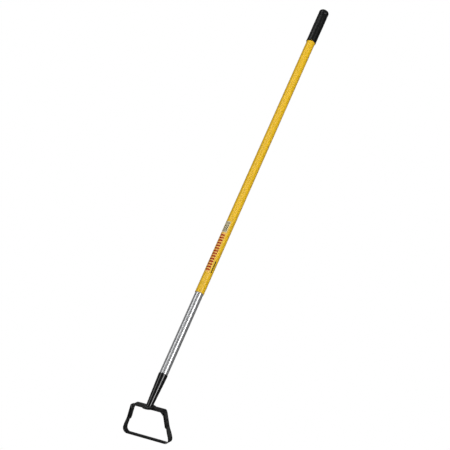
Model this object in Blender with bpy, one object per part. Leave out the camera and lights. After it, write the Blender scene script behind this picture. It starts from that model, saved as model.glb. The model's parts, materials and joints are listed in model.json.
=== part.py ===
"""Stirrup hoe: an aluminium handle with a vinyl sleeve and a hand grip, and a steel head whose blade rocks.

World frame: the blade's sole lies on the plane z = 0 with its middle at the origin, X runs along the
blade, and the handle leans back towards +Y as it does in use. Lengths are metres.
"""

from math import acos, asin, atan2, cos, hypot, pi, radians, sin, sqrt, tan

import bmesh
import bpy
from mathutils import Matrix, Vector

# Clearances
GAP = 0.0003  # between pieces that touch on the real tool
SNUG = 0.0002  # between thin sleeves, whose facets line up

# Head: overall
HEAD_HEIGHT = 0.0925  # sole of the blade to the top face of the yoke's cross bar
LEAN = radians(39.4)  # handle from the vertical, when the sole is flat on the ground

# Yoke: a steel plate, bent down into two legs
YOKE_THICKNESS = 0.0032
CROSS_BAR_WIDTH = 0.028
PAD_RADIUS = 0.0205  # the cross bar's rounded, wider middle, under the socket
LEG_WIDTH = 0.0138
SHOULDER = (0.0165, 0.004)  # depths below the cross bar's top, where a leg starts and ends widening
YOKE_SPAN = 0.1034  # across the cross bar's corners, before they are rounded
YOKE_CORNER = 0.0065  # bend radius of the plate's middle surface
LEG_FLARE = radians(14)
LEG_LENGTH = 0.0505  # top face of the cross bar to the foot of a leg, measured upright
PLATE_EDGE = 0.0004  # the small bevel along the plate's edges

# Blade: a stirrup of spring steel strip
BLADE_WIDTH = 0.020
BLADE_THICKNESS = 0.0028
ARM_WIDTH = 0.0168  # the strip is narrower in its arms
ARM_TAPER = (0.045, 0.030)  # heights between which it widens
BLADE_CORNER = 0.0130
ARM_KNEES = ((0.048, radians(19.5)), (0.026, radians(16.5)))  # height, and the flare below it
KNEE_RADIUS = 0.012
EDGE_BEVEL = 0.0042  # width of the ground bevel along both edges of the blade
EDGE_LAND = 0.0005  # thickness left at the cutting edge
STRIP_EDGE = 0.0003  # the small bevel along the strip's other edges
ARM_TIP_CORNER = 0.0022
SWING = radians(12)  # each way from the middle

# Pivots
PIVOT_HEIGHT = 0.0535
ARM_ABOVE_PIVOT = 0.0355
RIVET_RADIUS = 0.003
RIVET_HEAD_RADIUS = 0.0052
RIVET_HEAD_HEIGHT = 0.0014
RIVET_HEAD_RIM = 0.0004
RIVET_TAIL_RADIUS = 0.0041
RIVET_TAIL_HEIGHT = 0.0009
HOLE_RADIUS = RIVET_RADIUS + 0.00035
WASHER_RADIUS = 0.0048
WASHER_THICKNESS = 0.0006
WASHER_PLAY = 0.0003  # on each face of the washer between an arm and its leg
BURR_RADIUS = 0.0048
BURR_THICKNESS = 0.0006

# Stops: a pin in each leg runs in an arc slot of the arm
STOP_ABOVE_PIVOT = 0.0145
STOP_RADIUS = 0.0015
STOP_HEAD_RADIUS = 0.0025
STOP_HEAD_HEIGHT = 0.0006
STOP_PLAY = 0.0003  # round the pin, at the slot's sides

# Socket: a tapered steel tube, welded to the cross bar
SOCKET_LENGTH = 0.1010
SOCKET_FOOT_RADIUS = 0.0096
SOCKET_MOUTH_RADIUS = 0.0138
SOCKET_WALL = 0.0009
SOCKET_LIP = 0.0004
SOCKET_RIVET_FROM_FOOT = 0.078
WELD_SIZE = 0.0035
WELD_STEP = 0.0004  # height of the weld's outer rim

# Handle
TUBE_RADIUS = 0.0127
TUBE_WALL = 0.0014
TUBE_LENGTH = 1.372
TUBE_TOP = 1.4220  # along the handle, from the top face of the cross bar
SLEEVE_RADIUS = 0.0139
SLEEVE_BOTTOM = 0.3675
SLEEVE_EDGE = 0.0003
GRIP_RADIUS = 0.0157
GRIP_BULB_RADIUS = 0.0160
GRIP_GROOVE_DEPTH = 0.0006
GRIP_BOTTOM = 1.2977
GRIP_TOP = 1.4264
GRIP_END_CORNER = 0.0075
PLUG_LENGTH = 0.022
PLUG_WALL = 0.0016
LABEL_THICKNESS = 0.00015
LABEL_HALF_ANGLE = radians(33)
BAND_LABEL = (0.4345, 0.5700)  # from, to, along the handle
DATA_LABEL = (0.5712, 0.6103)

ROUND = 48  # facets round the handle's pieces
SMALL_ROUND = 24  # facets round the pivots' pieces


def clear_scene():
    for obj in list(bpy.data.objects):
        bpy.data.objects.remove(obj, do_unlink=True)


def material(name, colour, roughness, metallic=0.0):
    made = bpy.data.materials.new(name)
    made.use_nodes = True
    shader = made.node_tree.nodes["Principled BSDF"]
    shader.inputs["Base Color"].default_value = (*colour, 1.0)
    shader.inputs["Roughness"].default_value = roughness
    shader.inputs["Metallic"].default_value = metallic
    return made


def empty(name, location, rotation=(0, 0, 0)):
    made = bpy.data.objects.new(name, None)
    made.location = location
    made.rotation_euler = rotation
    bpy.context.scene.collection.objects.link(made)
    return made


def add_object(name, mesh, look, parent=None, sharp=radians(32)):
    """An object from a bmesh, with its faces turned outwards and its round faces smooth."""
    bmesh.ops.recalc_face_normals(mesh, faces=mesh.faces)
    data = bpy.data.meshes.new(name)
    mesh.to_mesh(data)
    mesh.free()
    data.shade_smooth()
    data.set_sharp_from_angle(angle=sharp)
    made = bpy.data.objects.new(name, data)
    if look:
        data.materials.append(look)
    made.parent = parent
    bpy.context.scene.collection.objects.link(made)
    return made


def skin(rings, closed=False):
    """A bmesh over rings of equally many points; a ring of one point is a pole, and open ends are capped."""
    mesh = bmesh.new()
    made = [[mesh.verts.new(point) for point in ring] for ring in rings]
    pairs = list(zip(made, made[1:]))
    if closed:
        pairs.append((made[-1], made[0]))
    for first, second in pairs:
        count = max(len(first), len(second))
        for i in range(count):
            j = (i + 1) % count
            corners = [first[i % len(first)], first[j % len(first)]]
            corners += [second[j % len(second)], second[i % len(second)]]
            mesh.faces.new(list(dict.fromkeys(corners)))
    if not closed:
        for end in (made[0], made[-1]):
            if len(end) > 1:
                mesh.faces.new(end)
    return mesh


def turned(profile, facets=ROUND):
    """A bmesh turned about Z from a closed profile of (radius, height) points."""
    angles = [2 * pi * i / facets for i in range(facets)]
    rings = []
    for radius, height in profile:
        if radius < 1e-7:
            rings.append([(0, 0, height)])
        else:
            rings.append([(radius * cos(a), radius * sin(a), height) for a in angles])
    on_axis = len(rings[0]) == 1 and len(rings[-1]) == 1
    return skin(rings, closed=not on_axis)


def arc(centre, radius, start, end, steps):
    """Points (x, y) along an arc, its ends included."""
    turns = [start + (end - start) * i / steps for i in range(steps + 1)]
    return [(centre[0] + radius * cos(a), centre[1] + radius * sin(a)) for a in turns]


def rounded_path(corners, radii, steps=6):
    """A path through corners (x, z), each inner one rounded to its radius."""
    path = [Vector(corners[0])]
    for before, corner, after, radius in zip(corners, corners[1:], corners[2:], radii):
        here = Vector(corner)
        back = (Vector(before) - here).normalized()
        ahead = (Vector(after) - here).normalized()
        half = acos(max(-1.0, min(1.0, back.dot(ahead)))) / 2
        centre = here + (back + ahead).normalized() * (radius / sin(half))
        first = here + back * (radius / tan(half)) - centre
        last = here + ahead * (radius / tan(half)) - centre
        sweep = atan2(first.x * last.y - first.y * last.x, first.dot(last))
        start = atan2(first.y, first.x)
        path += [Vector(p) for p in arc(centre, radius, start, start + sweep, steps)]
    path.append(Vector(corners[-1]))
    return path


def add_stations(path, distances):
    """Adds points to a path at these distances from each of its two ends."""
    for _ in range(2):
        inward = (path[1] - path[0]).normalized()
        path[1:1] = [path[0] + inward * distance for distance in distances]
        path.reverse()


def with_heights(path, span, count):
    """The path with more points where it crosses evenly spaced heights between the two of span."""
    heights = [span[0] + (span[1] - span[0]) * i / (count - 1) for i in range(count)]
    made = [path[0]]
    for point in path[1:]:
        last = made[-1]
        low, high = sorted((last.y, point.y))
        crossed = [h for h in heights if low + 0.0004 < h < high - 0.0004]
        if point.y < last.y:
            crossed.sort(reverse=True)
        else:
            crossed.sort()
        made += [last.lerp(point, (h - last.y) / (point.y - last.y)) for h in crossed]
        made.append(point)
    return made


def strap(path, section):
    """A bmesh along a path in the XZ plane. section(x, z) gives a ring of (across, out) points, which
    run along Y and along the path's normal."""
    rings = []
    for i, point in enumerate(path):
        along = path[min(i + 1, len(path) - 1)] - path[max(i - 1, 0)]
        along.normalize()
        normal = Vector((-along.y, along.x))
        ring = []
        for across, out in section(point.x, point.y):
            place = point + normal * out
            ring.append((place.x, across, place.y))
        rings.append(ring)
    return skin(rings)


def bevelled(half_width, thickness, low, high):
    """A rectangle's ring with its four corners cut; low and high are (width, depth) of the cuts on the
    path's inner and outer sides."""
    half = thickness / 2
    return [
        (-half_width + low[0], -half),
        (half_width - low[0], -half),
        (half_width, -half + low[1]),
        (half_width, half - high[1]),
        (half_width - high[0], half),
        (-half_width + high[0], half),
        (-half_width, half - high[1]),
        (-half_width, -half + low[1]),
    ]


def cutter(name, mesh, parent):
    made = add_object(name, mesh, None, parent)
    made.hide_render = True
    made.display_type = "WIRE"
    return made


def combine(target, other, operation):
    change = target.modifiers.new(f"{operation.lower()} {other.name}", "BOOLEAN")
    change.object = other
    change.operation = operation
    change.solver = "EXACT"


def rod(radius, low, high, facets=SMALL_ROUND):
    return turned([(0, low), (radius, low), (radius, high), (0, high)], facets)


def block(centre, size):
    mesh = bmesh.new()
    bmesh.ops.create_cube(mesh, size=1.0)
    bmesh.ops.scale(mesh, vec=size, verts=mesh.verts)
    bmesh.ops.translate(mesh, vec=centre, verts=mesh.verts)
    return mesh


# Places that several pieces share -------------------------------------------------------------

ARM_TO_LEG = WASHER_THICKNESS + 2 * WASHER_PLAY  # clear space between an arm and its leg
LEG_OUTER_TOP = YOKE_SPAN / 2


def leg_outer_x(z):
    """Half width over the legs' outer faces, at a height."""
    return LEG_OUTER_TOP + (HEAD_HEIGHT - z) * tan(LEG_FLARE)


def arm_middle_x(z):
    """Half width to the middle of an arm's thickness, in the stretch beside the leg."""
    return leg_outer_x(z) + (ARM_TO_LEG + BLADE_THICKNESS / 2) / cos(LEG_FLARE)


def pivot_empty(name, side):
    """An empty in the middle of an arm's hole, its Z axis square to the arm and pointing outwards."""
    tilt = side * (pi / 2 - LEG_FLARE)
    place = (side * arm_middle_x(PIVOT_HEIGHT), 0, PIVOT_HEIGHT)
    return empty(name, place, (0, tilt, 0))


ARM_FACE = BLADE_THICKNESS / 2  # heights along a pivot's axis, from the arm's middle
LEG_OUTER_FACE = -ARM_FACE - ARM_TO_LEG
LEG_INNER_FACE = LEG_OUTER_FACE - YOKE_THICKNESS


def socket_radius(height):
    return SOCKET_FOOT_RADIUS + (SOCKET_MOUTH_RADIUS - SOCKET_FOOT_RADIUS) * height / SOCKET_LENGTH


# Pieces -----------------------------------------------------------------------------------------


def make_yoke(pivots, look):
    half_thick = YOKE_THICKNESS / 2
    foot_z = HEAD_HEIGHT - LEG_LENGTH
    inset = half_thick / cos(LEG_FLARE)
    foot_x = leg_outer_x(foot_z) - inset
    top_z = HEAD_HEIGHT - half_thick
    top_x = LEG_OUTER_TOP - inset + half_thick * tan(LEG_FLARE)
    corners = [(foot_x, foot_z), (top_x, top_z), (-top_x, top_z), (-foot_x, foot_z)]
    path = rounded_path(corners, [YOKE_CORNER, YOKE_CORNER], 8)
    pad_stations = 20
    across = [PAD_RADIUS * (1 - 2 * i / pad_stations) for i in range(pad_stations + 1)]
    middle = len(path) // 2
    path[middle:middle] = [Vector((x, top_z)) for x in across]
    round_end = LEG_WIDTH * 0.45
    stations = [round_end * (1 - cos(pi / 2 * i / 5)) for i in range(1, 6)]
    shoulder_from = (LEG_LENGTH - SHOULDER[0]) / cos(LEG_FLARE)
    stations += [shoulder_from + 0.0018 * i for i in range(5)]
    add_stations(path, stations)

    def section(x, z):
        share = (z - HEAD_HEIGHT + SHOULDER[0]) / (SHOULDER[0] - SHOULDER[1])
        share = min(1.0, max(0.0, share))
        share = share * share * (3 - 2 * share)
        half_width = (LEG_WIDTH + (CROSS_BAR_WIDTH - LEG_WIDTH) * share) / 2
        from_foot = (z - foot_z) / cos(LEG_FLARE)
        if from_foot < round_end:
            rise = 1 - from_foot / round_end
            half_width -= round_end * (1 - sqrt(max(0.0, 1 - rise * rise)))
        if abs(x) < PAD_RADIUS and z > top_z - half_thick:
            half_width = max(half_width, sqrt(PAD_RADIUS**2 - x * x))
        edge = (PLATE_EDGE, PLATE_EDGE)
        return bevelled(half_width, YOKE_THICKNESS, edge, edge)

    yoke = add_object("yoke", strap(path, section), look)
    for side, pivot in pivots.items():
        hole = rod(HOLE_RADIUS, LEG_INNER_FACE - 0.002, LEG_OUTER_FACE + 0.0005)
        combine(yoke, cutter(f"leg_hole_{side}", hole, pivot), "DIFFERENCE")
        hole = rod(STOP_RADIUS + GAP, LEG_INNER_FACE - 0.002, LEG_OUTER_FACE + 0.0005)
        bmesh.ops.translate(hole, vec=stop_place(side), verts=hole.verts)
        combine(yoke, cutter(f"stop_hole_{side}", hole, pivot), "DIFFERENCE")
    return yoke


def stop_place(side):
    """Where a stop pin's axis crosses its pivot empty's XY plane."""
    return (-side * STOP_ABOVE_PIVOT, 0, 0)


def arc_slot(side):
    """A cutter for an arm's slot: the path of the stop pin as the arm swings, with some play."""
    half_turn = SWING + STOP_PLAY / 2 / STOP_ABOVE_PIVOT
    half_width = STOP_RADIUS + STOP_PLAY
    up = pi if side > 0 else 0
    first, last = up - half_turn, up + half_turn
    first_end = (STOP_ABOVE_PIVOT * cos(first), STOP_ABOVE_PIVOT * sin(first))
    last_end = (STOP_ABOVE_PIVOT * cos(last), STOP_ABOVE_PIVOT * sin(last))
    rim = arc((0, 0), STOP_ABOVE_PIVOT + half_width, first, last, 8)
    rim += arc(last_end, half_width, last, last + pi, 8)[1:-1]
    rim += arc((0, 0), STOP_ABOVE_PIVOT - half_width, last, first, 8)
    rim += arc(first_end, half_width, first + pi, first + 2 * pi, 8)[1:-1]
    return skin([[(x, y, z) for x, y in rim] for z in (-0.003, 0.003)])


def make_blade(pivot_axis, pivots, look):
    half = BLADE_THICKNESS / 2
    top_z = PIVOT_HEIGHT + ARM_ABOVE_PIVOT * cos(LEG_FLARE)
    corners = [(arm_middle_x(top_z), top_z)]
    x, flare = corners[0][0], LEG_FLARE
    z = top_z
    for knee_z, next_flare in (*ARM_KNEES, (half, 0)):
        x += (z - knee_z) * tan(flare)
        z, flare = knee_z, next_flare
        corners.append((x, z))
    corners += [(-x, z) for x, z in reversed(corners)]
    radii = [KNEE_RADIUS, KNEE_RADIUS, BLADE_CORNER]
    path = rounded_path(corners, radii + radii[::-1])
    stations = [ARM_TIP_CORNER * share for share in (0.3, 1.0)]
    add_stations(path, stations)
    path = with_heights(path, ARM_TAPER, 6)

    def section(x, z):
        plain = (STRIP_EDGE, STRIP_EDGE)
        share = min(1.0, max(0.0, (ARM_TAPER[0] - z) / (ARM_TAPER[0] - ARM_TAPER[1])))
        share = share * share * (3 - 2 * share)
        half_width = (ARM_WIDTH + (BLADE_WIDTH - ARM_WIDTH) * share) / 2
        below_tip = (top_z - z) / cos(LEG_FLARE)
        if below_tip < ARM_TIP_CORNER:
            rise = min(1.0, 1 - below_tip / ARM_TIP_CORNER)
            half_width -= ARM_TIP_CORNER * (1 - sqrt(1 - rise * rise))
        share = min(1.0, max(0.0, (BLADE_CORNER - z) / (BLADE_CORNER - half)))
        deepest = BLADE_THICKNESS - EDGE_LAND - STRIP_EDGE
        ground = (
            STRIP_EDGE + (EDGE_BEVEL - STRIP_EDGE) * share,
            STRIP_EDGE + (deepest - STRIP_EDGE) * share,
        )
        return bevelled(half_width, BLADE_THICKNESS, ground, plain)

    blade = add_object("stirrup_blade", strap(path, section), look)
    for side, pivot in pivots.items():
        hole = rod(HOLE_RADIUS, -0.003, 0.003)
        combine(blade, cutter(f"arm_hole_{side}", hole, pivot), "DIFFERENCE")
        combine(blade, cutter(f"arm_slot_{side}", arc_slot(side), pivot), "DIFFERENCE")
    shift = Matrix.Translation(-pivot_axis.location)
    blade.data.transform(shift)
    blade.parent = pivot_axis
    return blade


def dome(radius, base, height, steps=4):
    """Points from a disc's rim up over a shallow cap to the axis."""
    curve = (radius * radius + height * height) / (2 * height)
    top = asin(radius / curve)
    turns = [top * (1 - i / steps) for i in range(steps)]
    rim_to_top = [(curve * sin(a), base + height - curve * (1 - cos(a))) for a in turns]
    return [*rim_to_top, (0, base + height)]


def make_pivot(side, side_name, pivot, looks):
    """The rivet, washer and burr of one pivot, and its stop pin."""
    head_base = ARM_FACE + WASHER_PLAY
    tail_base = LEG_INNER_FACE - 2 * GAP - BURR_THICKNESS
    tail = dome(RIVET_TAIL_RADIUS, 0, RIVET_TAIL_HEIGHT)
    cap = dome(RIVET_HEAD_RADIUS, head_base + RIVET_HEAD_RIM, RIVET_HEAD_HEIGHT - RIVET_HEAD_RIM)
    profile = [(r, tail_base - h) for r, h in reversed(tail)]
    profile += [(RIVET_RADIUS, tail_base), (RIVET_RADIUS, head_base)]
    profile += [(RIVET_HEAD_RADIUS, head_base), *cap]
    add_object(f"pivot_rivet_{side_name}", turned(profile, SMALL_ROUND), looks["rivet"], pivot)
    rings = (
        ("spacer_washer", WASHER_RADIUS, LEG_OUTER_FACE + WASHER_PLAY, WASHER_THICKNESS),
        ("rivet_burr", BURR_RADIUS, LEG_INNER_FACE - GAP - BURR_THICKNESS, BURR_THICKNESS),
    )
    for name, radius, base, thickness in rings:
        profile = [(HOLE_RADIUS, base), (radius, base)]
        profile += [(radius, base + thickness), (HOLE_RADIUS, base + thickness)]
        add_object(f"{name}_{side_name}", turned(profile, SMALL_ROUND), looks["washer"], pivot)
    head_top = LEG_INNER_FACE - GAP
    profile = [(0, head_top - STOP_HEAD_HEIGHT), (STOP_HEAD_RADIUS, head_top - STOP_HEAD_HEIGHT)]
    profile += [(STOP_HEAD_RADIUS, head_top), (STOP_RADIUS, head_top)]
    profile += [(STOP_RADIUS, ARM_FACE), (0, ARM_FACE)]
    pin = turned(profile, SMALL_ROUND)
    bmesh.ops.translate(pin, vec=stop_place(side), verts=pin.verts)
    add_object(f"stop_pin_{side_name}", pin, looks["rivet"], pivot)


def make_socket(handle, look):
    low = -SOCKET_FOOT_RADIUS * tan(LEAN) - 0.004
    profile = [
        (socket_radius(low), low),
        (SOCKET_MOUTH_RADIUS, SOCKET_LENGTH - SOCKET_LIP),
        (SOCKET_MOUTH_RADIUS - SOCKET_LIP, SOCKET_LENGTH),
        (SOCKET_MOUTH_RADIUS - SOCKET_WALL, SOCKET_LENGTH),
        (socket_radius(low) - SOCKET_WALL, low),
    ]
    socket = add_object("socket", turned(profile), look, handle)
    below = block((0, 0, HEAD_HEIGHT - 0.02 + GAP), (0.08, 0.08, 0.04))
    combine(socket, cutter("below_socket", below, None), "DIFFERENCE")
    return socket


def beside_socket(turn, height):
    """The point one gap clear of the socket's surface, at this turn and height over the cross bar."""
    away = Vector((0, cos(LEAN), -sin(LEAN)))
    along = Vector((0, sin(LEAN), cos(LEAN)))
    radial = Vector((cos(turn), 0, 0)) + away * sin(turn)
    lift = height
    for _ in range(12):
        radius = socket_radius(lift) + GAP
        lift = (height + radius * sin(turn) * sin(LEAN)) / cos(LEAN)
    return Vector((0, 0, HEAD_HEIGHT)) + along * lift + radial * radius


def make_weld(look):
    """The fillet round the socket's slanting foot, on the cross bar's pad."""
    rings = []
    for i in range(ROUND):
        turn = 2 * pi * i / ROUND
        base = beside_socket(turn, GAP)
        outwards = Vector((base.x, base.y, 0)).normalized()
        room = PAD_RADIUS - PLATE_EDGE - GAP - hypot(base.x, base.y)
        rim = base + outwards * min(WELD_SIZE, room)
        top = beside_socket(turn, GAP + WELD_SIZE)
        bulge = (rim + top) / 2 + (rim + top - 2 * base).normalized() * WELD_STEP
        rings.append([base, rim, rim + Vector((0, 0, WELD_STEP)), bulge, top])
    return add_object("socket_weld", skin(rings, closed=True), look)


def make_socket_rivet(handle, socket, tube, look):
    """A blind rivet through the socket and the tube, at the back."""
    place = (0, 0, SOCKET_RIVET_FROM_FOOT)
    spot = empty("socket_rivet_place", place, (-pi / 2, 0, 0))
    spot.parent = handle
    surface = socket_radius(SOCKET_RIVET_FROM_FOOT)
    body, head, head_height, blind = 0.002, 0.0036, 0.0011, 0.0029
    base = surface + GAP
    inside = surface - 0.0062
    profile = [(0, inside), (blind, inside), (blind, inside + 0.0018), (body, inside + 0.0024)]
    profile += [(body, base), (head, base), (head, base + 0.0003)]
    profile += dome(head, base + 0.0003, head_height - 0.0003)[1:]
    add_object("socket_rivet", turned(profile, SMALL_ROUND), look, spot)
    hole = rod(body + GAP, surface - 0.006, surface + 0.003)
    drill = cutter("socket_rivet_hole", hole, spot)
    combine(socket, drill, "DIFFERENCE")
    combine(tube, drill, "DIFFERENCE")


def make_tube(handle, look):
    """The tube, its lower end swaged to the socket's taper."""
    bottom = TUBE_TOP - TUBE_LENGTH
    clear = SOCKET_WALL + 0.00025
    taper = (SOCKET_MOUTH_RADIUS - SOCKET_FOOT_RADIUS) / SOCKET_LENGTH
    bottom_radius = socket_radius(bottom) - clear
    straight_from = min(SOCKET_LENGTH, bottom + (TUBE_RADIUS - bottom_radius) / taper)
    inner = TUBE_RADIUS - TUBE_WALL
    profile = [(bottom_radius, bottom), (TUBE_RADIUS, straight_from), (TUBE_RADIUS, TUBE_TOP)]
    profile += [(inner, TUBE_TOP), (inner, straight_from), (bottom_radius - TUBE_WALL, bottom)]
    return add_object("handle_tube", turned(profile), look, handle)


def make_sleeve(handle, look):
    inner, outer, low, high = TUBE_RADIUS + SNUG, SLEEVE_RADIUS, SLEEVE_BOTTOM, TUBE_TOP - 0.001
    profile = [(inner, low), (outer - SLEEVE_EDGE, low), (outer, low + SLEEVE_EDGE)]
    profile += [(outer, high), (inner, high)]
    return add_object("vinyl_sleeve", turned(profile), look, handle)


def make_grip(handle, look):
    """A closed-ended grip with a slight bulb and a groove under its domed end."""
    inner = SLEEVE_RADIUS + SNUG
    bulb_top = GRIP_TOP - GRIP_END_CORNER
    groove = GRIP_TOP - 0.0165
    profile = [(0, TUBE_TOP + GAP), (inner, TUBE_TOP + GAP), (inner, GRIP_BOTTOM)]
    profile += [(GRIP_RADIUS - 0.0006, GRIP_BOTTOM), (GRIP_RADIUS, GRIP_BOTTOM + 0.0008)]
    profile += [(GRIP_RADIUS + 0.0001, groove - 0.0022)]
    profile += [(GRIP_RADIUS - GRIP_GROOVE_DEPTH, groove), (GRIP_BULB_RADIUS, groove + 0.0024)]
    corner_centre = (GRIP_BULB_RADIUS - GRIP_END_CORNER, bulb_top)
    profile += arc(corner_centre, GRIP_END_CORNER, 0, radians(78), 6)
    profile += [(0.004, GRIP_TOP), (0, GRIP_TOP)]
    return add_object("hand_grip", turned(profile), look, handle)


def make_plug(handle, look):
    """The plastic cup that closes the tube under the grip."""
    body = TUBE_RADIUS - TUBE_WALL - SNUG
    low, high = TUBE_TOP - PLUG_LENGTH, TUBE_TOP - GAP
    profile = [(0, high - 0.002), (body - PLUG_WALL, high - 0.002), (body - PLUG_WALL, low)]
    profile += [(body - 0.0006, low), (body, low + 0.002), (body, high), (0, high)]
    return add_object("tube_end_plug", turned(profile), look, handle)


def make_label(name, span, handle, look):
    """A thin curved film on the front of the sleeve, its facets in line with the sleeve's."""
    inner = SLEEVE_RADIUS + 0.0001
    outer = inner + LABEL_THICKNESS
    step = 2 * pi / ROUND
    first = round((-pi / 2 - LABEL_HALF_ANGLE) / step)
    last = round((-pi / 2 + LABEL_HALF_ANGLE) / step)
    rings = []
    for i in range(first, last + 1):
        turn = i * step
        ring = []
        for radius, height in ((inner, span[0]), (outer, span[0]), (outer, span[1]), (inner, span[1])):
            ring.append((radius * cos(turn), radius * sin(turn), height))
        rings.append(ring)
    return add_object(name, skin(rings), look, handle)


def build():
    clear_scene()
    black = (0.012, 0.012, 0.013)
    looks = {
        "head": material("black_enamel", black, 0.28),
        "blade": material("black_enamel_blade", black, 0.32),
        "weld": material("painted_weld", black, 0.4),
        "rivet": material("black_rivet_steel", (0.02, 0.02, 0.021), 0.4, 0.6),
        "washer": material("black_washer_steel", (0.03, 0.03, 0.032), 0.45, 0.6),
        "tube": material("mill_aluminium", (0.78, 0.79, 0.80), 0.3, 1.0),
        "sleeve": material("yellow_vinyl", (0.78, 0.46, 0.03), 0.25),
        "grip": material("black_rubber", (0.02, 0.02, 0.02), 0.6),
        "plug": material("plug_plastic", (0.05, 0.05, 0.05), 0.5),
        "band": material("label_band_film", (0.75, 0.45, 0.03), 0.25),
        "data": material("label_data_film", (0.8, 0.78, 0.7), 0.35),
        "pop": material("aluminium_rivet", (0.05, 0.05, 0.052), 0.35, 0.5),
    }
    handle = empty("handle_axis", (0, 0, HEAD_HEIGHT), (-LEAN, 0, 0))
    pivot_axis = empty("blade_pivot_axis", (0, 0, PIVOT_HEIGHT))
    pivots = {side: pivot_empty(f"pivot_{name}", side) for side, name in ((-1, "left"), (1, "right"))}

    make_yoke(pivots, looks["head"])
    make_blade(pivot_axis, pivots, looks["blade"])
    make_pivot(-1, "left", pivots[-1], looks)
    make_pivot(1, "right", pivots[1], looks)
    socket = make_socket(handle, looks["head"])
    make_weld(looks["weld"])
    tube = make_tube(handle, looks["tube"])
    make_socket_rivet(handle, socket, tube, looks["pop"])
    make_sleeve(handle, looks["sleeve"])
    make_grip(handle, looks["grip"])
    make_plug(handle, looks["plug"])
    make_label("band_label", BAND_LABEL, handle, looks["band"])
    make_label("data_label", DATA_LABEL, handle, looks["data"])


build()
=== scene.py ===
import json
from math import cos, hypot, pi, radians, sin

import bmesh
import bpy
from mathutils import Matrix, Vector


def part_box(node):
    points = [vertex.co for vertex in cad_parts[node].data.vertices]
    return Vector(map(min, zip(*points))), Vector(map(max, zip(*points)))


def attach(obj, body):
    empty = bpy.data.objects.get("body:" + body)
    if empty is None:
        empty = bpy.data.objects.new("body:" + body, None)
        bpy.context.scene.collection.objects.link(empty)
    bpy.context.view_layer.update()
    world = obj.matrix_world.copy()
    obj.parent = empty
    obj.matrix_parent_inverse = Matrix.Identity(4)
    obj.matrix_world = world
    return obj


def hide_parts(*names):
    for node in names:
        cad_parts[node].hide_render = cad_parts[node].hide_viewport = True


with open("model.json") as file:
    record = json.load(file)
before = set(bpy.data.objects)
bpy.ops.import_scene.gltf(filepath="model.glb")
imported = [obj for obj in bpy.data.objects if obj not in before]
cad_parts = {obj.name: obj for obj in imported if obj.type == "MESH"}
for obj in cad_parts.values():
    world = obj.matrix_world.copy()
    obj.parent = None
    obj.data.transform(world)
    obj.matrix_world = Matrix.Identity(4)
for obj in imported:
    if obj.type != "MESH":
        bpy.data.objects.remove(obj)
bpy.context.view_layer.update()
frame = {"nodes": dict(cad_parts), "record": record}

# Places read from the frame ---------------------------------------------------------------------

NODES = frame["nodes"]
MOUNTS = {mount["name"]: mount for mount in frame["record"]["mounts"]}
AXIS = Vector(MOUNTS["grip_end"]["axis"]).normalized()  # up the handle
FOOT = Vector((0, 0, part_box("yoke")[1].z))  # where the handle's axis meets the cross bar
RIGHT = Vector((1, 0, 0))
BACK = Vector((0, AXIS.z, -AXIS.y))  # square to the handle; its front is at a turn of -90 degrees
LEAN = AXIS.angle(Vector((0, 0, 1)))
HANDLE_BODY, BLADE_BODY = "handle_and_yoke", "blade"

# Sizes of the finish and its detail, in metres unless a comment says otherwise --------------------

POLE_RADIUS = 1e-7  # a ring narrower than this is a single point
TUBE_WALL = 0.0014
DRAWN_IN_BELOW_MOUTH = 0.006  # where the tube's taper ends, below the socket's mouth
SLEEVE_EDGE = 0.00035
SOCKET_WALL, SOCKET_LIP = 0.0009, 0.0004
GAP = 0.0003  # between neighbouring pieces
WELD_SIZE, WELD_BULGE, WELD_STEPS = 0.0034, 0.0006, 7
WELD_RIPPLE, WELD_RIPPLES = 0.10, 34  # the ripples' height as a share of the size, and their count
WELD_SWAY, WELD_SWAYS = 0.6, 5  # how far the ripples stray from even spacing, and how often
PAD_MARGIN = 0.0008  # kept clear between the weld and the cross bar's edge

GRIP_RELIEF = 0.0003  # the height of the grip's ribs, which end level with its collar and cap
GRIP_CORNER = 0.0078
GRIP_FLAT = 0.0040  # radius of the flat on its end
GRIP_GROOVE = 0.0165  # the groove's middle, below the grip's end
# Its outline from the cap to the body: below the outer radius, above the groove's middle
GROOVE_OUTLINE = (
    (0.0001, 0.0032),
    (0.0005, 0.0016),
    (0.0015, 0.0004),
    (0.0015, -0.0004),
    (0.0006, -0.0015),
)
BODY_BELOW_GROOVE, RIBS_BELOW_GROOVE = 0.0024, 0.0035
COLLAR, COLLAR_SLOPE, COLLAR_BEVEL = 0.0042, 0.0008, 0.0006  # at the grip's foot
RIBS_FROM = 0.40  # share of the grip's length
RIB_COLUMNS, RIB_PITCH, RIB_GAP = 16, 0.0118, 0.0030
RIB_END, RIB_FADE = 0.0012, 0.001  # the slopes at a rib's ends and at the ribbed part's ends
RIB_HALF_WIDTH, RIB_SIDE = 0.62, 0.22  # shares of half a column

# Printed marks: count, share of the pitch that they fill, and the turns they lie between, in degrees
FILM_TURNS = (-123, -57)
RED_STRIPES = (14, 0.56, -121, -61)
SIDE_DASHES = (9, 0.9, -38, -22)
DATA_RULES = (10, 0.5, -119, -63)
RED_MARGIN, DATA_MARGIN = 0.004, 0.002  # left plain at either end of a label
SIDE_LINE = (0.002, 0.040)  # from, to, above the band label's lower end
PRINT_LIFT, PRINT_TOP = 0.00002, 0.00007  # above what the marks are printed on


def places(node):
    """(distance up the handle's axis, distance from it) of each of a node's points."""
    points = [vertex.co - FOOT for vertex in NODES[node].data.vertices]
    return [(point.dot(AXIS), (point - AXIS * point.dot(AXIS)).length) for point in points]


def extent(node):
    """(low, high, inner radius, outer radius) of a node about the handle's axis."""
    along, out = zip(*places(node))
    return min(along), max(along), min(out), max(out)


def on_handle(turn, radius, along):
    return FOOT + AXIS * along + (RIGHT * cos(turn) + BACK * sin(turn)) * radius


# Node materials ---------------------------------------------------------------------------------


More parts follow.
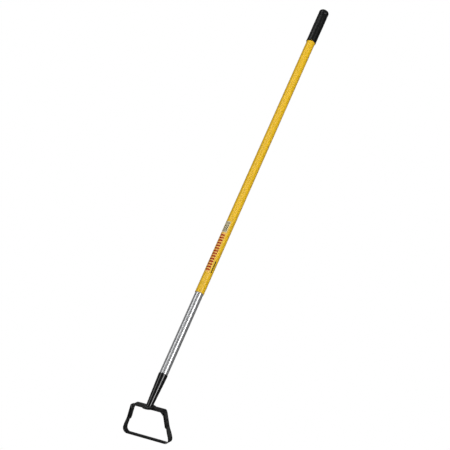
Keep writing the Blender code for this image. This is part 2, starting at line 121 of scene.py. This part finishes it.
class Look:
    """A Principled material with short calls for the nodes that vary its inputs."""

    def __init__(self, name, **fixed):
        self.made = bpy.data.materials.new(name)
        self.made.use_nodes = True
        self.tree = self.made.node_tree
        self.shader = self.tree.nodes["Principled BSDF"]
        for socket, value in fixed.items():
            self.shader.inputs[socket.replace("_", " ")].default_value = value
        self.place = self.node("ShaderNodeTexCoord").outputs["Object"]

    def node(self, kind, **settings):
        made = self.tree.nodes.new(kind)
        for name, value in settings.items():
            setattr(made, name, value)
        return made

    def link(self, source, target):
        self.tree.links.new(source, target)

    def stretched(self, scale):
        """Coordinates along the handle (z) and across it (x, y), each divided by a scale."""
        made = self.node("ShaderNodeMapping", vector_type="TEXTURE")
        made.inputs["Rotation"].default_value = (-LEAN, 0, 0)
        made.inputs["Scale"].default_value = scale
        self.link(self.place, made.inputs["Vector"])
        return made.outputs["Vector"]

    def noise(self, scale, detail, rough, place=None):
        made = self.node("ShaderNodeTexNoise")
        made.inputs["Scale"].default_value = scale
        made.inputs["Detail"].default_value = detail
        made.inputs["Roughness"].default_value = rough
        self.link(place or self.place, made.inputs["Vector"])
        return made.outputs["Fac"]

    def ramp(self, source, *stops):
        made = self.node("ShaderNodeValToRGB")
        ramp = made.color_ramp
        while len(ramp.elements) < len(stops):
            ramp.elements.new(0.5)
        for element, (at, colour) in zip(ramp.elements, stops):
            element.position = at
            element.color = (*colour, 1)
        self.link(source, made.inputs["Fac"])
        return made.outputs["Color"]

    def colour(self, source, *stops):
        self.link(self.ramp(source, *stops), self.shader.inputs["Base Color"])

    def roughness(self, source, low, high):
        made = self.node("ShaderNodeMapRange")
        made.inputs["From Min"].default_value = 0.3
        made.inputs["From Max"].default_value = 0.7
        made.inputs["To Min"].default_value = low
        made.inputs["To Max"].default_value = high
        self.link(source, made.inputs["Value"])
        self.link(made.outputs["Result"], self.shader.inputs["Roughness"])

    def bump(self, *layers):
        """Each layer is (height source, distance, strength)."""
        normal = None
        for source, distance, strength in layers:
            made = self.node("ShaderNodeBump")
            made.inputs["Distance"].default_value = distance
            made.inputs["Strength"].default_value = strength
            self.link(source, made.inputs["Height"])
            if normal:
                self.link(normal, made.inputs["Normal"])
            normal = made.outputs["Normal"]
        self.link(normal, self.shader.inputs["Normal"])


def shade(colour, factor):
    return tuple(min(1.0, part * factor) for part in colour)


def vinyl(name, colour):
    """Smooth extruded vinyl: faint draw lines, slight mottling and a few scuffs."""
    look = Look(name, Specular_IOR_Level=0.5)
    drawn = look.noise(260, 3, 0.5, look.stretched((1, 1, 40)))
    mottle = look.noise(28, 5, 0.6)
    scuffs = look.noise(420, 6, 0.7, look.stretched((1, 1, 5)))
    mix = look.node("ShaderNodeMix", data_type="FLOAT")
    mix.inputs["Factor"].default_value = 0.55
    look.link(drawn, mix.inputs["A"])
    look.link(mottle, mix.inputs["B"])
    light, dark = shade(colour, 1.05), shade(colour, 0.93)
    look.colour(mix.outputs["Result"], (0.3, dark), (0.5, colour), (0.7, light))
    look.roughness(scuffs, 0.24, 0.33)
    look.bump((drawn, 0.00001, 0.08), (scuffs, 0.000004, 0.05))
    return look.made


def enamel(name, colour, gloss, peel=0.00012, chips=0.735):
    """Black paint over steel: orange peel, dusty patches and a few tiny chips down to grey primer."""
    look = Look(name, Specular_IOR_Level=0.9, Coat_Weight=0.5, Coat_Roughness=0.05)
    peel_noise = look.noise(520, 2, 0.5)
    dust = look.noise(60, 6, 0.65)
    specks = look.noise(900, 3, 0.6)
    base = look.ramp(dust, (0.35, shade(colour, 0.8)), (0.65, shade(colour, 1.5)))
    worn = look.ramp(specks, (chips, (0, 0, 0)), (chips + 0.02, (0.09, 0.09, 0.09)))
    mix = look.node("ShaderNodeMix", data_type="RGBA", blend_type="ADD")
    mix.inputs["Factor"].default_value = 1.0
    look.link(base, mix.inputs["A"])
    look.link(worn, mix.inputs["B"])
    look.link(mix.outputs["Result"], look.shader.inputs["Base Color"])
    look.roughness(dust, gloss - 0.04, gloss + 0.1)
    look.bump((peel_noise, peel, 0.2), (specks, 0.00002, 0.3))
    return look.made


def rubber(name, colour):
    look = Look(name, Specular_IOR_Level=0.6)
    grain = look.noise(1600, 3, 0.6)
    handling = look.noise(45, 5, 0.6)
    look.colour(handling, (0.35, shade(colour, 0.75)), (0.65, shade(colour, 1.35)))
    look.roughness(handling, 0.36, 0.46)
    look.bump((grain, 0.00012, 0.35))
    return look.made


def drawn_aluminium(name):
    """Tube as it leaves the die: fine lines along it, faint smudges."""
    look = Look(name, Metallic=0.82)
    lines = look.noise(1500, 3, 0.6, look.stretched((1, 1, 220)))
    smudges = look.noise(24, 5, 0.6)
    scratches = look.noise(700, 4, 0.7, look.stretched((6, 6, 1)))
    look.colour(lines, (0.35, (0.74, 0.75, 0.77)), (0.65, (0.90, 0.91, 0.92)))
    look.roughness(smudges, 0.26, 0.32)
    look.bump((lines, 0.000006, 0.12), (scratches, 0.000004, 0.08))
    return look.made


def plain_metal(name, colour, gloss, metallic):
    """Small hardware: turned or stamped, with fine tool marks."""
    look = Look(name, Metallic=metallic)
    marks = look.noise(1400, 4, 0.6)
    stain = look.noise(180, 5, 0.6)
    look.colour(stain, (0.35, shade(colour, 0.75)), (0.65, shade(colour, 1.4)))
    look.roughness(stain, gloss - 0.06, gloss + 0.1)
    look.bump((marks, 0.00004, 0.3))
    return look.made


def ink(name, colour):
    """Print on the film, a little uneven in cover."""
    look = Look(name, Specular_IOR_Level=0.2)
    cover = look.noise(900, 4, 0.65)
    look.colour(cover, (0.3, shade(colour, 0.75)), (0.7, shade(colour, 1.3)))
    look.roughness(cover, 0.32, 0.45)
    look.bump((cover, 0.00001, 0.2))
    return look.made


YELLOW = (0.90, 0.54, 0.009)
BLACK = (0.0022, 0.0024, 0.0025)
LOOKS = {
    "sleeve": vinyl("yellow_vinyl", YELLOW),
    "film": vinyl("clear_film_over_vinyl", (0.92, 0.52, 0.09)),
    "paper": ink("label_ground", (0.80, 0.70, 0.45)),
    "red": ink("red_ink", (0.42, 0.026, 0.003)),
    "dark": ink("dark_ink", (0.020, 0.016, 0.010)),
    "head": enamel("gloss_black_enamel", BLACK, 0.15),
    "blade": enamel("satin_black_enamel", BLACK, 0.26, chips=0.715),
    "weld": enamel("enamel_on_weld", shade(BLACK, 1.2), 0.26, 0.0004),
    "tube": drawn_aluminium("drawn_aluminium"),
    "grip": rubber("black_rubber", (0.0018, 0.0022, 0.0021)),
    "hardware": plain_metal("blackened_steel", (0.02, 0.02, 0.021), 0.36, 0.4),
    "pop": plain_metal("painted_rivet", (0.03, 0.03, 0.032), 0.32, 0.5),
    "plug": rubber("plug_plastic", (0.03, 0.03, 0.03)),
}


# Meshes -----------------------------------------------------------------------------------------


def piece(name, mesh, look, body, stands_for=(), sharp=32):
    """A finished piece: its faces turned out, round faces smooth, riding on a body."""
    bmesh.ops.recalc_face_normals(mesh, faces=mesh.faces)
    data = bpy.data.meshes.new(name)
    mesh.to_mesh(data)
    mesh.free()
    data.shade_smooth()
    data.set_sharp_from_angle(angle=radians(sharp))
    data.materials.append(LOOKS[look])
    made = bpy.data.objects.new(name, data)
    bpy.context.scene.collection.objects.link(made)
    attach(made, body)
    if stands_for:
        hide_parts(*stands_for)
    return made


def skin(rings, closed=False):
    """A mesh over rings of equally many points. A ring of one point is a pole."""
    mesh = bmesh.new()
    made = [[mesh.verts.new(point) for point in ring] for ring in rings]
    pairs = list(zip(made, made[1:]))
    if closed:
        pairs.append((made[-1], made[0]))
    for first, second in pairs:
        count = max(len(first), len(second))
        for i in range(count):
            j = (i + 1) % count
            corners = [first[i % len(first)], first[j % len(first)]]
            corners += [second[j % len(second)], second[i % len(second)]]
            mesh.faces.new(list(dict.fromkeys(corners)))
    return mesh


def lathe(profile, facets=128, relief=None):
    """A mesh turned about the handle's axis from (radius, along) points.

    The profile closes on itself unless it starts at a pole. relief gives the height to add to a
    radius, from the turn, the radius and the distance along.
    """
    turns = [2 * pi * i / facets for i in range(facets)]
    rings = []
    for radius, along in profile:
        if radius < POLE_RADIUS:
            rings.append([on_handle(0, 0, along)])
            continue
        radii = [radius + relief(turn, radius, along) if relief else radius for turn in turns]
        rings.append([on_handle(turn, out, along) for turn, out in zip(turns, radii)])
    return skin(rings, closed=len(rings[0]) > 1)


def arc(centre, radius, start, end, steps):
    """Profile points round a (radius, along) centre."""
    turns = [start + (end - start) * i / steps for i in range(steps + 1)]
    return [(centre[0] + radius * cos(a), centre[1] + radius * sin(a)) for a in turns]


def smoothed_copy(node, look, body):
    """The CAD solid with its shared corners merged, so that its round faces shade smoothly."""
    mesh = bmesh.new()
    mesh.from_mesh(NODES[node].data)
    bmesh.ops.remove_doubles(mesh, verts=mesh.verts, dist=2e-6)
    bmesh.ops.dissolve_degenerate(mesh, edges=mesh.edges, dist=1e-7)
    made = piece(node + "_finish", mesh, look, body, (node,))
    even = made.modifiers.new("even_shading", "WEIGHTED_NORMAL")
    even.keep_sharp = True


# Handle -----------------------------------------------------------------------------------------


def make_tube():
    low, high, foot_radius, outer = extent("handle_tube")
    taper_top = extent("socket")[1] - DRAWN_IN_BELOW_MOUTH
    profile = [(foot_radius + TUBE_WALL, low), (outer, taper_top), (outer, high)]
    profile += [(outer - TUBE_WALL, high), (outer - TUBE_WALL, taper_top), (foot_radius, low)]
    piece("drawn_tube", lathe(profile), "tube", HANDLE_BODY, ("handle_tube",))


def make_sleeve():
    low, high, inner, outer = extent("vinyl_sleeve")
    edge = SLEEVE_EDGE
    profile = [(inner, low), (outer - edge, low)]
    profile += arc((outer - edge, low + edge), edge, -pi / 2, 0, 4)
    steps = 60
    profile += [(outer, low + edge + (high - low - edge) * i / steps) for i in range(1, steps + 1)]
    profile += [(inner, high)]
    piece("sleeve_skin", lathe(profile), "sleeve", HANDLE_BODY, ("vinyl_sleeve",))


def rib(turn, along, low, high):
    """Height share of the grip's raised dashes, which lie in staggered columns round its upper part."""
    column = (turn % (2 * pi)) / (2 * pi) * RIB_COLUMNS
    across = abs(column - round(column)) * 2
    shift = 0.5 if round(column) % 2 else 0.0
    row = ((along - low) / RIB_PITCH + shift) % 1.0
    half = (1 - RIB_GAP / RIB_PITCH) / 2
    end = (half - abs(row - 0.5)) * RIB_PITCH / RIB_END
    side = (RIB_HALF_WIDTH - across) / RIB_SIDE
    inside = min(1.0, (along - low) / RIB_FADE, (high - along) / RIB_FADE)
    share = max(0.0, min(1.0, end, side, inside))
    return share * share * (3 - 2 * share)


def make_grip():
    low, high, inner, outer = extent("hand_grip")
    body_radius = outer - GRIP_RELIEF
    groove, collar = high - GRIP_GROOVE, low + COLLAR
    body_top = groove - BODY_BELOW_GROOVE
    rib_low, rib_high = low + RIBS_FROM * (high - low), groove - RIBS_BELOW_GROOVE
    cap_inner = extent("handle_tube")[1] + GAP
    steps = 230
    body = [body_top + (collar - body_top) * i / steps for i in range(steps + 1)]

    def ribs(turn, radius, along):
        outside = radius > inner and rib_low < along < rib_high
        return GRIP_RELIEF * rib(turn, along, rib_low, rib_high) if outside else 0.0

    profile = [(0, high), (GRIP_FLAT, high)]
    profile += arc((outer - GRIP_CORNER, high - GRIP_CORNER), GRIP_CORNER, radians(80), 0, 14)
    profile += [(outer - depth, groove + up) for depth, up in GROOVE_OUTLINE]
    profile += [(body_radius, along) for along in body]
    profile += [(outer, collar - COLLAR_SLOPE), (outer, low + COLLAR_BEVEL), (body_radius, low)]
    profile += [(inner, low), (inner, cap_inner), (0, cap_inner)]
    grip = lathe(profile, 192, ribs)
    piece("ribbed_grip", grip, "grip", HANDLE_BODY, ("hand_grip",), 50)


# Labels: plain marks in place of any lettering ----------------------------------------------------


def add_shell(mesh, rows, base, top):
    """Adds a thin closed body on the sleeve, over a grid of (turn, along) points."""
    lower, upper = (
        [[mesh.verts.new(on_handle(turn, radius, along)) for turn, along in row] for row in rows]
        for radius in (base, top)
    )
    last, columns = len(rows) - 1, len(rows[0]) - 1
    for i in range(last):
        for layer in (lower, upper):
            for k in range(columns):
                near, far = layer[i], layer[i + 1]
                mesh.faces.new((near[k], near[k + 1], far[k + 1], far[k]))
        for k in (0, columns):
            mesh.faces.new((lower[i][k], lower[i + 1][k], upper[i + 1][k], upper[i][k]))
    for i in (0, last):
        for k in range(columns):
            mesh.faces.new((lower[i][k], lower[i][k + 1], upper[i][k + 1], upper[i][k]))


def band(low, high, left, right, steps):
    """Rows of a patch from low to high along the handle and from left to right round it, in degrees."""
    columns = 8
    turns = [radians(left + (right - left) * k / columns) for k in range(columns + 1)]
    heights = [low + (high - low) * i / steps for i in range(steps + 1)]
    return [[(turn, height) for turn in turns] for height in heights]


def stripes(low, high, carrier, marks):
    """Equal, evenly spaced stripes between two heights, printed on a carrier of that radius."""
    count, cover, left, right = marks
    pitch = (high - low) / count
    half = pitch * cover / 2
    mesh = bmesh.new()
    for i in range(count):
        middle = low + pitch * (i + 0.5)
        rows = band(middle - half, middle + half, left, right, 4)
        add_shell(mesh, rows, carrier + PRINT_LIFT, carrier + PRINT_TOP)
    return mesh


def make_labels():
    carriers = (("band_label", "film", "band_film"), ("data_label", "paper", "data_ground"))
    for node, look, name in carriers:
        low, high, inner, outer = extent(node)
        film = bmesh.new()
        add_shell(film, band(low, high, *FILM_TURNS, 20), inner, outer)
        piece(name, film, look, HANDLE_BODY, (node,))
    low, high, _, outer = extent("band_label")
    red = stripes(low + RED_MARGIN, high - RED_MARGIN, outer, RED_STRIPES)
    piece("band_marks", red, "red", HANDLE_BODY, ())
    sleeve_radius = extent("vinyl_sleeve")[3]
    dashes = stripes(low + SIDE_LINE[0], low + SIDE_LINE[1], sleeve_radius, SIDE_DASHES)
    piece("side_line", dashes, "dark", HANDLE_BODY, ())
    low, high, _, outer = extent("data_label")
    rules = stripes(low + DATA_MARGIN, high - DATA_MARGIN, outer, DATA_RULES)
    piece("data_bars", rules, "dark", HANDLE_BODY, ())


# Head -------------------------------------------------------------------------------------------


def wall_at(turn, height, radius, taper):
    """Distance up the axis at which a tapered wall reaches a height above the cross bar."""
    lean = sin(turn) * AXIS.y
    return (height + radius * lean) / (AXIS.z - taper * lean)


def make_socket():
    _, high, _, outer = extent("socket")
    mouth = high - SOCKET_LIP
    lower_half = [(along, out) for along, out in places("socket") if along < mouth / 2]
    taper = min((outer - out) / (mouth - along) for along, out in lower_half)
    foot_radius = outer - taper * mouth
    facets, steps = 128, 40
    turns = [2 * pi * i / facets for i in range(facets)]

    def foot_of(radius):
        return [wall_at(turn, GAP, radius, taper) for turn in turns]

    def ring(radius, heights):
        return [on_handle(turn, radius + taper * a, a) for turn, a in zip(turns, heights)]

    outside, inside = foot_of(foot_radius), foot_of(foot_radius - SOCKET_WALL)
    rings = []
    for i in range(steps + 1):
        rings.append(ring(foot_radius, [a + (mouth - a) * i / steps for a in outside]))
    for radius, along in arc((outer - SOCKET_LIP, mouth), SOCKET_LIP, 0, pi / 2, 4)[1:]:
        rings.append([on_handle(turn, radius, along) for turn in turns])
    rings.append([on_handle(turn, outer - SOCKET_WALL, high) for turn in turns])
    rings.append(ring(foot_radius - SOCKET_WALL, inside))
    piece("socket_tube", skin(rings, True), "head", HANDLE_BODY, ("socket",))
    return foot_radius, taper


def make_weld(foot_radius, taper):
    """A rippled bead round the socket's foot."""
    pad_edge = max(abs(v.co.y) for v in NODES["yoke"].data.vertices) - PAD_MARGIN

    def beside(turn, height):
        along = wall_at(turn, height, foot_radius + GAP, taper)
        return on_handle(turn, foot_radius + GAP + taper * along, along)

    rings = []
    facets = 288
    for i in range(facets):
        turn = 2 * pi * i / facets
        base = beside(turn, GAP)
        away = Vector((base.x, base.y, 0)).normalized()
        sway = WELD_SWAY * sin(turn * WELD_SWAYS)
        size = WELD_SIZE * (1 + WELD_RIPPLE * sin(turn * WELD_RIPPLES + sway))
        rim = base + away * min(size, pad_edge - hypot(base.x, base.y))
        top = beside(turn, GAP + size)
        ring = [base, rim]
        for k in range(1, WELD_STEPS):
            share = k / WELD_STEPS
            bulge = WELD_BULGE * sin(pi * share)
            ring.append(rim.lerp(top, share) + (away + Vector((0, 0, 1))).normalized() * bulge)
        rings.append(ring + [top])
    piece("weld_bead", skin(rings, True), "weld", HANDLE_BODY, ("socket_weld",), 60)


def make_head():
    foot_radius, taper = make_socket()
    make_weld(foot_radius, taper)
    smoothed_copy("yoke", "head", HANDLE_BODY)
    smoothed_copy("stirrup_blade", "blade", BLADE_BODY)
    smoothed_copy("socket_rivet", "pop", HANDLE_BODY)
    for side in ("left", "right"):
        for kind in ("pivot_rivet", "spacer_washer", "rivet_burr", "stop_pin"):
            smoothed_copy(f"{kind}_{side}", "hardware", HANDLE_BODY)
    plug = NODES["tube_end_plug"].data
    plug.materials.clear()
    plug.materials.append(LOOKS["plug"])


# Studio -----------------------------------------------------------------------------------------


FLOOR_HALF, FLOOR_Z = 150, -0.0005
WORLD_GLOSSY, WORLD_DIFFUSE = 0.06, 0.30
GLOSS_ONLY = {"glossy": True, "diffuse": False}
MATT_ONLY = {"glossy": False, "diffuse": True}
# name, place round the handle from the camera's side in degrees, distance up the handle, distance
# from it, width, length, radiance, and which reflections show it
ALONG_HANDLE = (
    ("key_core", 30, 0.45, 3.0, 0.7, 2.1, 5.0, GLOSS_ONLY),
    ("key_long", 30, 1.9, 3.2, 1.2, 4.6, 0.6, GLOSS_ONLY),
    ("fill_strip", -58, 1.9, 3.0, 0.8, 4.6, 1.6, GLOSS_ONLY),
    ("sleeve_strip", -43, 2.3, 3.0, 0.5, 1.7, 3.2, GLOSS_ONLY),
    ("left_edge", -145, 1.2, 3.0, 2.2, 4.0, 0.35, GLOSS_ONLY),
    ("rear_strip", 178, 0.6, 3.0, 1.0, 3.0, 2.0, GLOSS_ONLY),
    ("soft_front", 1, 1.4, 2.6, 1.8, 3.6, 2.9, MATT_ONLY),
    ("soft_back", 175, 1.4, 2.6, 2.4, 3.6, 1.9, MATT_ONLY),
)
AIM = FOOT + AXIS * 0.5  # the camera's side of the handle is measured from here
ARM_GLOW_SIDE = Vector((0.52, 0.85, 0)).normalized()
ARM_GLOW_PLACE = FOOT + ARM_GLOW_SIDE * 3 + Vector((0, 0, 0.2))
UNDER_GLOW_PLACE = Vector((0, -0.3, -0.8))


def emitter(name, strength):
    made = bpy.data.materials.new(name)
    made.use_nodes = True
    nodes = made.node_tree.nodes
    nodes.clear()
    light = nodes.new("ShaderNodeEmission")
    light.inputs["Strength"].default_value = strength
    out = nodes.new("ShaderNodeOutputMaterial")
    made.node_tree.links.new(light.outputs[0], out.inputs["Surface"])
    return made


def make_floor():
    """A floor that shines white by itself, so that it shows no horizon and no shadow."""
    mesh = bmesh.new()
    corners = [(-1, -1), (1, -1), (1, 1), (-1, 1)]
    mesh.faces.new([mesh.verts.new((x * FLOOR_HALF, y * FLOOR_HALF, FLOOR_Z)) for x, y in corners])
    data = bpy.data.meshes.new("floor")
    mesh.to_mesh(data)
    mesh.free()
    data.materials.append(emitter("white_floor", 1.0))
    floor = bpy.data.objects.new("floor", data)
    bpy.context.scene.collection.objects.link(floor)
    floor.visible_glossy = False
    floor.visible_diffuse = False
    floor.visible_shadow = False


def make_world(glossy, diffuse):
    """White to the camera, dim in reflections, and an even soft light on matt surfaces."""
    world = bpy.data.worlds.new("studio")
    world.use_nodes = True
    nodes, links = world.node_tree.nodes, world.node_tree.links
    nodes.clear()
    rays = nodes.new("ShaderNodeLightPath")
    pick = nodes.new("ShaderNodeMapRange")
    pick.inputs["To Min"].default_value = diffuse
    pick.inputs["To Max"].default_value = glossy
    links.new(rays.outputs["Is Glossy Ray"], pick.inputs["Value"])
    camera = nodes.new("ShaderNodeMix")
    camera.data_type = "FLOAT"
    camera.inputs["B"].default_value = 1.0
    links.new(rays.outputs["Is Camera Ray"], camera.inputs["Factor"])
    links.new(pick.outputs["Result"], camera.inputs["A"])
    sky = nodes.new("ShaderNodeBackground")
    sky.inputs["Color"].default_value = (1, 1, 1, 1)
    links.new(camera.outputs["Result"], sky.inputs["Strength"])
    out = nodes.new("ShaderNodeOutputWorld")
    links.new(sky.outputs[0], out.inputs["Surface"])
    bpy.context.scene.world = world


def soft_box(name, centre, up, side, width, length, radiance, glossy, diffuse):
    """A light that no camera sees, facing against side, with its length along up."""
    data = bpy.data.lights.new(name, "AREA")
    data.shape = "RECTANGLE"
    data.size, data.size_y = width, length
    data.energy = radiance * pi * width * length
    made = bpy.data.objects.new(name, data)
    rotation = Matrix((up.cross(side), up, side)).transposed()
    made.matrix_world = Matrix.Translation(centre) @ rotation.to_4x4()
    made.visible_camera = False
    made.visible_glossy = glossy
    made.visible_diffuse = diffuse
    bpy.context.scene.collection.objects.link(made)


def make_lights(camera):
    """Soft boxes along the handle, then one for the arms' inner faces and one from below."""
    towards = camera.location - AIM
    front = (towards - AXIS * towards.dot(AXIS)).normalized()
    right = AXIS.cross(front)
    if right.dot(RIGHT) < 0:
        right = -right
    for name, turn, along, radius, width, length, radiance, seen_by in ALONG_HANDLE:
        side = (front * cos(radians(turn)) + right * sin(radians(turn))).normalized()
        centre = FOOT + AXIS * along + side * radius
        soft_box(name, centre, AXIS, side, width, length, radiance, **seen_by)
    up, ahead = Vector((0, 0, 1)), Vector((0, 1, 0))
    soft_box("arm_glow", ARM_GLOW_PLACE, up, ARM_GLOW_SIDE, 0.9, 1.2, 0.2, **GLOSS_ONLY)
    soft_box("under_glow", UNDER_GLOW_PLACE, ahead, -up, 3.0, 1.4, 0.5, **GLOSS_ONLY)


def make_camera():
    """The place, turn and lens that the model was fitted to the photo with."""
    data = bpy.data.cameras.new("camera")
    data.sensor_width = 36
    data.lens = 104
    data.clip_start, data.clip_end = 0.05, 500
    camera = bpy.data.objects.new("camera", data)
    camera.location = (1.8782, -2.9269, 1.3051)
    camera.rotation_euler = [radians(a) for a in (78.884, -3.935, 30.549)]
    bpy.context.scene.collection.objects.link(camera)
    bpy.context.scene.camera = camera
    return camera


make_tube()
make_sleeve()
make_grip()
make_labels()
make_head()

make_floor()
make_world(WORLD_GLOSSY, WORLD_DIFFUSE)
make_lights(make_camera())

scene = bpy.context.scene
scene.view_settings.view_transform = "Standard"
scene.view_settings.look = "None"
